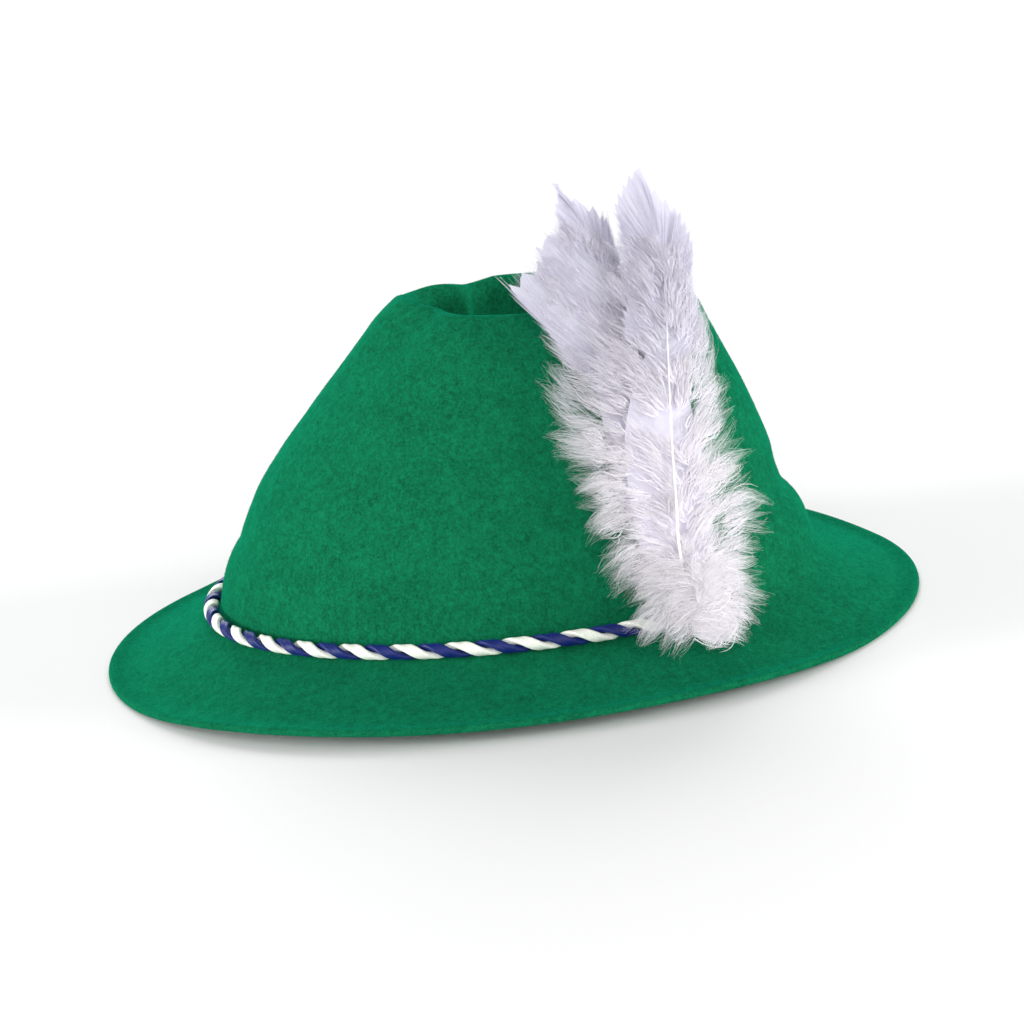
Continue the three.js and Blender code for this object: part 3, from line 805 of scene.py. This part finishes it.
def matted_core(feather, share, start, end, lift):
    """The dense down next to the spine, as one soft lens under the loose wisps"""
    along = np.linspace(start, end, CORE_RINGS)
    half_turn = np.pi * np.linspace(CORE_FADE["from"], CORE_FADE["to"], CORE_RINGS)
    fade = np.sin(half_turn) ** CORE_FADE["power"]
    turn = np.linspace(0, 2 * np.pi, CORE_CORNERS, endpoint=False)
    side = np.cos(turn)[None, :]
    spine, reach = outline(feather["rows"], feather["width"], along[:, None] + 0 * side, side)
    x = spine + side * reach * share * fade[:, None]
    y = along[:, None] * feather["length"] + 0 * side
    z = 0.5 * feather["thickness"] + lift * np.sin(turn)[None, :] * fade[:, None] + 0 * x
    placed = on_hat(feather, np.stack([x, y, z], -1))
    swing = SOFT_SHADING * side[..., None] * plume_side
    facing_way = unit(np.sign(np.sin(turn) + 0.01)[None, :, None] * plume_out + swing + 0 * placed)
    return closed_tube(placed, MATTED, facing_way)


# A wisp's barbs start and end at shares of its length, spread beside it and stray in height
WISP_BARBS = 24
WISP_SPREAD = 1.6
BARB_STARTS = (-0.1, 0.3)
BARB_ENDS = (0.5, 1.08)
BARB_STRAY = {"root": 0.3, "tip": 0.25, "bend": 0.5, "arch": 0.6}


def barb_curves(place, way, across, length, fan, draws):
    """The roots, bends and tips of the barbs of many wisps, each wisp swelling from its root and
    closing to a point"""
    shape = (len(place), WISP_BARBS)
    reach = (length[:, None] * draws.uniform(*BARB_ENDS, shape))[..., None]
    start = (length[:, None] * draws.uniform(*BARB_STARTS, shape))[..., None]
    sideways = draws.normal(size=shape)[..., None] * across[:, None]
    up = np.array([0, 0, 1.0])
    root = place[:, None] + way[:, None] * start + sideways * WISP_SPREAD * 0.6
    root = root + up * draws.normal(0, BARB_STRAY["root"], shape)[..., None]
    tip = place[:, None] + way[:, None] * reach + sideways * fan
    tip = tip + up * draws.normal(0, BARB_STRAY["tip"], shape)[..., None]
    aside = draws.normal(0, BARB_STRAY["bend"], (*shape, 1)) * across[:, None]
    bend = (root + tip) / 2 + sideways * WISP_SPREAD + aside
    bend = bend + up * draws.normal(BARB_STRAY["arch"], BARB_STRAY["bend"], shape)[..., None]
    return root.reshape(-1, 3), bend.reshape(-1, 3), tip.reshape(-1, 3)


# The wisps at the edge are longer, thinner and closed to a point, and all are shorter near the tip.
# Beside the spine a wisp runs almost along it.
EDGE_SHARE = 0.37
EDGE_WISPS = {"lengths": (12, 20), "fan": 0.45, "thin": 0.7}
INNER_WISPS = {"lengths": (7, 12), "fan": 0.95, "thin": 1, "reach": (0.05, 0.95)}
SHORTENING = ([0.6, 0.9], [1, 0.65])
SPINE_RISE = 78
RISE_STRAY = 11
FRONT_SHARE = 0.8
RADIAL_MIDDLE = 0.4
TONE_STRAY = {"wisp": 0.09, "barb": 0.1}
DOWN_BARBULE = 1.9


def down(feather, count, seed, start, end, hairs_each, core_lift, radial=0.0):
    """Wisps of loose down all over a feather. Those at the edge stand out past its outline, and the
    others lie over one another like shingles."""
    draws = np.random.default_rng(seed)
    side = np.where(np.arange(count) % 2 == 0, -1.0, 1.0)
    along = draws.uniform(start, end, count)
    edge = draws.random(count) < EDGE_SHARE
    spine, reach = outline(feather["rows"], feather["width"], np.clip(along, 0, 1), side)
    farthest = np.where(side < 0, *feather["past"]) + draws.normal(0, 0.08, count)
    tip_share = np.where(edge, farthest, draws.uniform(*INNER_WISPS["reach"], count))
    edge_length = draws.uniform(*EDGE_WISPS["lengths"], count)
    length = np.where(edge, edge_length, draws.uniform(*INNER_WISPS["lengths"], count))
    length = length * np.interp(along, *SHORTENING)
    height = along * feather["length"] + feather["rise"]
    rise = np.interp(height, TIP_HEIGHTS, TIP_RISES) + draws.normal(0, RISE_STRAY, count)
    rise = mix(SPINE_RISE, rise, np.clip(tip_share, 0.15, 1) ** 0.8) + side * feather["tilt"]
    outwards = np.degrees(np.arctan2(along - RADIAL_MIDDLE, 0.5 * tip_share))
    rise = np.radians(mix(rise, outwards, radial))
    way = np.stack([side * np.cos(rise), np.sin(rise), 0 * rise], -1)
    across = np.stack([-way[:, 1], way[:, 0], 0 * rise], -1)
    tip = np.stack([spine + side * reach * tip_share, along * feather["length"], 0 * rise], -1)
    place = tip - way * length[:, None]
    place[:, 2] = 0.5 * feather["thickness"]
    round_front = np.sqrt(np.clip(1 - tip_share**2, 0.05, 1))
    round_lift = core_lift * round_front * draws.uniform(0.6, 1.15, count)
    place[:, 2] += round_lift * np.where(draws.random(count) < FRONT_SHARE, 1, -1)
    fan = np.where(edge, EDGE_WISPS["fan"], INNER_WISPS["fan"])[:, None, None]
    root, bend, tip = barb_curves(place, way, across, length, fan, draws)
    bend[:, 2] = np.maximum(bend[:, 2], 0.2)
    thin = np.repeat(np.where(edge, EDGE_WISPS["thin"], INNER_WISPS["thin"]), WISP_BARBS)
    width = BARB_WIDTH * draws.uniform(0.6, 1.25, len(root)) * thin
    points, faces, curve, forward = ribbons(root, bend, tip, width, draws.uniform(-1, 1, len(root)))
    tone = TONE_STRAY["wisp"] * np.repeat(draws.normal(size=(count, 3)), WISP_BARBS, axis=0)
    tone = tone + TONE_STRAY["barb"] * draws.normal(size=(len(root), 3))
    wobble = np.repeat(tone, 2 * BARB_STEPS, axis=0)
    hairs, hair_faces = barbules(curve, forward, hairs_each, DOWN_BARBULE, draws)
    hair_wobble = np.repeat(np.repeat(tone, hairs_each, axis=0), 3, axis=0)
    loose = np.repeat(edge, WISP_BARBS)
    parts = []
    for chosen, finish in ((~loose, DOWN), (loose, EDGE)):
        barb_faces = faces.reshape(len(root), -1, 4)[chosen].reshape(-1, 4)
        some_hairs = hair_faces.reshape(len(root), -1, 3)[chosen].reshape(-1, 3)
        parts.append(soft_part(feather, *only(points, barb_faces, wobble), finish))
        parts.append(soft_part(feather, *only(hairs, some_hairs, hair_wobble), finish))
    return parts


# The closed vane's webs: barbs across each, how far a web laps over the next, the steepness of its
# barbs in degrees at its foot and at its tip, and the teeth and rounding of its edge
WEB_BARBS = 26
WEB_STEPS = 12
WEB_LAP = 1.12
WEB_RISES = (36, 74)
WEB_REACH = 0.93
TOOTH = {"depth": 0.15, "height": 2.6, "stray": 0.012}
WEB_ROUNDING = {"depth": 0.2, "middle": 0.6}
WEB_ARCH = 0.6

# The loose barbs that lie over a web and stand out past its edge
LOOSE_BARBS = 110
LOOSE_STRAY = 0.4
LOOSE_REACH = (0.96, 1.12)
LOOSE_LIFT = np.array([0, 0, 0.25])
VANE_BARBULES = (6, 1.1)


def web_curves(feather, side, web, webs, teeth, draws):
    """The roots, bends and tips of the barbs of one web. The last web closes over the spine."""
    rows = feather["vane_rows"]
    first = rows[0]["along"]
    inside = np.linspace(0, 1, WEB_BARBS)
    place = np.minimum(mix(first, 1.0, (web + inside * WEB_LAP) / webs), 1.02)
    spine, reach = outline(rows, feather["width"], place, side)
    tooth = (inside * teeth + draws.random()) % 1.0
    share = WEB_REACH + TOOTH["depth"] * tooth + draws.normal(0, TOOTH["stray"], WEB_BARBS)
    share = share - WEB_ROUNDING["depth"] * np.abs(inside - WEB_ROUNDING["middle"]) ** 3
    steepness = mix(*WEB_RISES, (place - first) / (1 - first))
    rise = np.radians(steepness + side * 0.5 * feather["tilt"])
    tip_x = spine + side * reach * share
    tip_y = place * feather["length"] + TOOTH["height"] * tooth
    root_y = tip_y - reach * share * np.tan(rise) * 0.9
    root_along = np.maximum(root_y / feather["length"], first - 0.1)
    root_x = outline(rows, feather["width"], root_along, side)[0]
    lift = 0.5 * feather["thickness"] + 0.5 * draws.normal() + 0.35 * inside
    root = np.stack([root_x, root_y, 0 * root_y + 0.5 * feather["thickness"] + 0.4], -1)
    tip = np.stack([tip_x, tip_y, lift], -1)
    bend = np.stack([mix(root_x, tip_x, 0.64), mix(root_y, tip_y, 0.46), lift + WEB_ARCH], -1)
    if web == webs - 1:
        fan = inside**2
        tip[:, 0] = mix(tip[:, 0], -side * 0.02 * feather["width"], fan)
        bend[:, 0] = mix(bend[:, 0], root[:, 0] - side * 0.6, fan)
    return root, bend, tip


def vane(feather, webs, teeth, seed):
    """The closed vane near the tip: on each side a thin sheet of barbs that cling together, parted
    into webs, with a saw-toothed edge and loose barb ends past it"""
    draws = np.random.default_rng(seed)
    t = np.linspace(0, 1, WEB_STEPS)[None, :, None]
    faces = grid_faces(WEB_BARBS, WEB_STEPS, around=False)
    parts = []
    for side, web in [(side, web) for side in (-1.0, 1.0) for web in range(webs)]:
        root, bend, tip = web_curves(feather, side, web, webs, teeth, draws)
        sheet = bent(root, bend, tip, t).reshape(-1, 3)
        sheet_wobble = 0.05 * draws.normal(size=3) + 0 * sheet
        parts.append(soft_part(feather, sheet, faces, sheet_wobble, VANE))
        loose = draws.integers(0, WEB_BARBS, LOOSE_BARBS)
        stray = draws.normal(0, LOOSE_STRAY, (LOOSE_BARBS, 3)) * [1, 1, 0.5]
        past = draws.uniform(*LOOSE_REACH, (LOOSE_BARBS, 1))
        loose_tip = root[loose] + (tip[loose] - root[loose]) * past + stray
        loose_bend = bend[loose] + 0.5 * stray + LOOSE_LIFT
        width = BARB_WIDTH * draws.uniform(0.6, 1.2, LOOSE_BARBS)
        loose_root = root[loose] + LOOSE_LIFT
        points, barb_faces, curve, way = ribbons(loose_root, loose_bend, loose_tip, width, 0 * width)
        wobble = np.repeat(0.2 * draws.normal(size=(LOOSE_BARBS, 3)), 2 * BARB_STEPS, axis=0)
        parts.append(soft_part(feather, points, barb_faces, wobble, VANE))
        hairs, hair_faces = barbules(curve, way, *VANE_BARBULES, draws)
        hair_wobble = 0.12 * np.repeat(draws.normal(size=(len(hair_faces), 3)), 3, axis=0)
        parts.append(soft_part(feather, hairs, hair_faces, hair_wobble, VANE))
    return parts


# Painted shade: the plume's colour darkens upwards between these heights, in metres, standing in for
# the thin upper plume sending back less light
UPWARD_SHADE_HEIGHTS = (0.07, 0.125)
UPWARD_PAINTED_SHADE = 0.55


def plumage(name, dark, light, through, cover=1.0):
    """Bleached barbs: matt, some light passes through them, and thin ones cover little"""
    material, barbs = new_finish(name)
    place = barbs.node("ShaderNodeTexCoord", output=3)
    height = place.node("ShaderNodeSeparateXYZ", {}, {0: place}, output=2)
    tone = 0.4 * noise(barbs, place, 0.009) + 0.6 * noise(barbs, place, 0.0015)
    # The down's random tone, less the painted shade that darkens the plume upwards
    pale = 0.55 * tone + 0.58 - UPWARD_PAINTED_SHADE * height.between(*UPWARD_SHADE_HEIGHTS)
    shade = pale.between(0, 1)
    inputs = {"Base Color": shade.blend(dark, light), "Roughness": 0.7, "Specular IOR Level": 0.2}
    inputs.update({"Sheen Weight": 0.2, "Sheen Roughness": 0.5})
    surface = barbs.node("ShaderNodeBsdfPrincipled", {}, inputs)
    dark_glow = barbs.node("ShaderNodeBsdfTranslucent", {}, {"Color": dark})
    light_glow = barbs.node("ShaderNodeBsdfTranslucent", {}, {"Color": light})
    glow = barbs.node("ShaderNodeMixShader", {}, {0: shade, 1: dark_glow, 2: light_glow})
    mixed = barbs.node("ShaderNodeMixShader", {}, {0: through, 1: surface, 2: glow})
    if cover < 1:
        clear = barbs.node("ShaderNodeBsdfTransparent")
        mixed = barbs.node("ShaderNodeMixShader", {}, {0: cover, 1: clear, 2: mixed})
    barbs.node("ShaderNodeOutputMaterial", {}, {"Surface": mixed})
    return material


down_finish = plumage("white_down", linear(221, 218, 232), linear(255, 252, 255), 0.4)
edge_finish = plumage("thin_white_down", linear(221, 218, 232), linear(255, 252, 255), 0.4, 0.45)
# Painted shade: the vane's lilac white is set darker than the down, standing in for the shade of the
# thin single-layer vane; the lilac tint is its own
shaded_vane_finish = plumage("shaded_lilac_white_vane", linear(206, 203, 219), linear(242, 240, 250), 0.4)
# Painted shade: the matted core gets a darker colour than the loose down, standing in for the
# self-shadowing between wisps that its smooth surface lacks
matted_shade_finish = plumage("matted_down_painted_shade", linear(206, 203, 219), linear(238, 235, 246), 0.3)

quill_finish, shaft = new_finish("horn_white_quill")
shaft_place = shaft.node("ShaderNodeTexCoord", output=3)
shaft_tone = noise(shaft, shaft_place, 0.004, detail=2)
shaft_colour = shaft_tone.between(0.3, 0.7).blend(linear(236, 234, 238), linear(252, 251, 252))
show(shaft, {"Base Color": shaft_colour, "Roughness": 0.35, "Specular IOR Level": 0.5})

short_parts = quill(SHORT, start=0.3, end=0.96, thick=0.7, lifts=[4.4, 4.4, 3.6, 2.6])
short_parts += matted_core(SHORT, share=0.5, start=0.03, end=0.72, lift=0.8)
short_parts += down(SHORT, 300, seed=21, start=0.0, end=0.93, hairs_each=7, core_lift=1.6)
short_parts += vane(SHORT, webs=5, teeth=4, seed=22)
tall_parts = quill(TALL, start=0.02, end=0.97, thick=1.2, lifts=[8.8, 8.0, 4.8, 3.4])
tall_parts += matted_core(TALL, share=0.45, start=0.02, end=0.6, lift=0.3)
tall_parts += down(TALL, 460, seed=31, start=0.0, end=0.88, hairs_each=7, core_lift=2.8)
tall_parts += vane(TALL, webs=4, teeth=5, seed=32)
tuft_parts = matted_core(TUFT, share=0.42, start=0.12, end=0.55, lift=0.5)
tuft_parts += down(TUFT, 200, seed=41, start=-0.04, end=0.72, hairs_each=8, core_lift=2.4, radial=0.6)
FEATHERS = [
    {"node": "short_feather", "piece": "short_plume", "parts": short_parts},
    {"node": "tall_feather", "piece": "tall_plume", "parts": tall_parts},
    {"node": "tuft_feather", "piece": "tuft_plume", "parts": tuft_parts},
]
finishes = [down_finish, quill_finish, shaded_vane_finish, edge_finish, matted_shade_finish]
for row in FEATHERS:
    feather_piece = make_piece(row["piece"], row["parts"], finishes)
    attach(feather_piece, "root")
    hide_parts(row["node"])

# Setting: a pale floor and sky, low soft lights before and behind the hat, one beside the camera and
# one on the far side, and the camera that looks at the hat's left side from a little above the brim
FLOOR_SIZE = 16.0
FLOOR_COLOUR = (0.855, 0.855, 0.857, 1.0)
SKY_COLOUR = (1.0, 1.0, 1.0, 1.0)
SKY_STRENGTH = 0.37
floor_finish, floor_paint = new_finish("pale_floor")
show(floor_paint, {"Base Color": FLOOR_COLOUR, "Roughness": 0.9, "Specular IOR Level": 0.1})
half_floor = FLOOR_SIZE / 2 / MILLIMETRE
floor_corners = np.array([[-1, -1, 0], [1, -1, 0], [1, 1, 0], [-1, 1, 0]], float) * half_floor
floor = make_piece("floor", [(floor_corners, np.array([[0, 1, 2, 3]]), 0)], [floor_finish])

world = bpy.data.worlds.new("studio")
world.use_nodes = True
world.node_tree.nodes["Background"].inputs["Color"].default_value = SKY_COLOUR
world.node_tree.nodes["Background"].inputs["Strength"].default_value = SKY_STRENGTH
bpy.context.scene.world = world
bpy.context.scene.view_settings.view_transform = "Standard"

CAMERA_AZIMUTH = 98
CAMERA_ELEVATION = 15.0
CAMERA_ROLL = -7.33
CAMERA_DISTANCE = 1.2
CAMERA_TARGET = np.array([0, 0, 0.045])
CAMERA_LENS = 125.45
CAMERA_SHIFT = (0.0159, -0.0199)


def facing(azimuth, elevation):
    """The unit vector from the hat to what looks at it"""
    around, above = np.radians([azimuth, elevation])
    return np.array([np.sin(around) * np.cos(above), -np.cos(around) * np.cos(above), np.sin(above)])


def aimed(thing, azimuth, elevation, distance, roll):
    """Sets a camera or lamp round the hat, looking at the middle of the picture"""
    back = facing(azimuth, elevation)
    level = facing(azimuth + 90, 0)
    upright = np.cross(back, level)
    tip = np.radians(roll)
    right = level * np.cos(tip) + upright * np.sin(tip)
    above = upright * np.cos(tip) - level * np.sin(tip)
    place = CAMERA_TARGET + back * distance
    columns = np.stack([right, above, back, place], 1)
    bpy.context.scene.collection.objects.link(thing)
    thing.matrix_world = Matrix([*columns.tolist(), [0, 0, 0, 1]])


camera_data = bpy.data.cameras.new("camera")
camera_data.lens = CAMERA_LENS
camera_data.shift_x, camera_data.shift_y = CAMERA_SHIFT
camera = bpy.data.objects.new("camera", camera_data)
aimed(camera, CAMERA_AZIMUTH, CAMERA_ELEVATION, CAMERA_DISTANCE, CAMERA_ROLL)
bpy.context.scene.camera = camera

LAMP_DISTANCE = 2
LAMPS = [
    {"name": "front_screen", "azimuth": 14, "elevation": 7, "strength": 3.4, "spread": 25},
    {"name": "side_screen", "azimuth": 104, "elevation": 20, "strength": 1.9, "spread": 60},
    {"name": "back_window", "azimuth": 174, "elevation": 7, "strength": 2.8, "spread": 25},
    {"name": "far_window", "azimuth": -82, "elevation": 31, "strength": 2.3, "spread": 40},
]
for row in LAMPS:
    lamp_data = bpy.data.lights.new(row["name"], "SUN")
    lamp_data.angle = np.radians(row["spread"])
    lamp_data.energy = row["strength"]
    lamp = bpy.data.objects.new(row["name"], lamp_data)
    aimed(lamp, row["azimuth"], row["elevation"], LAMP_DISTANCE, 0)
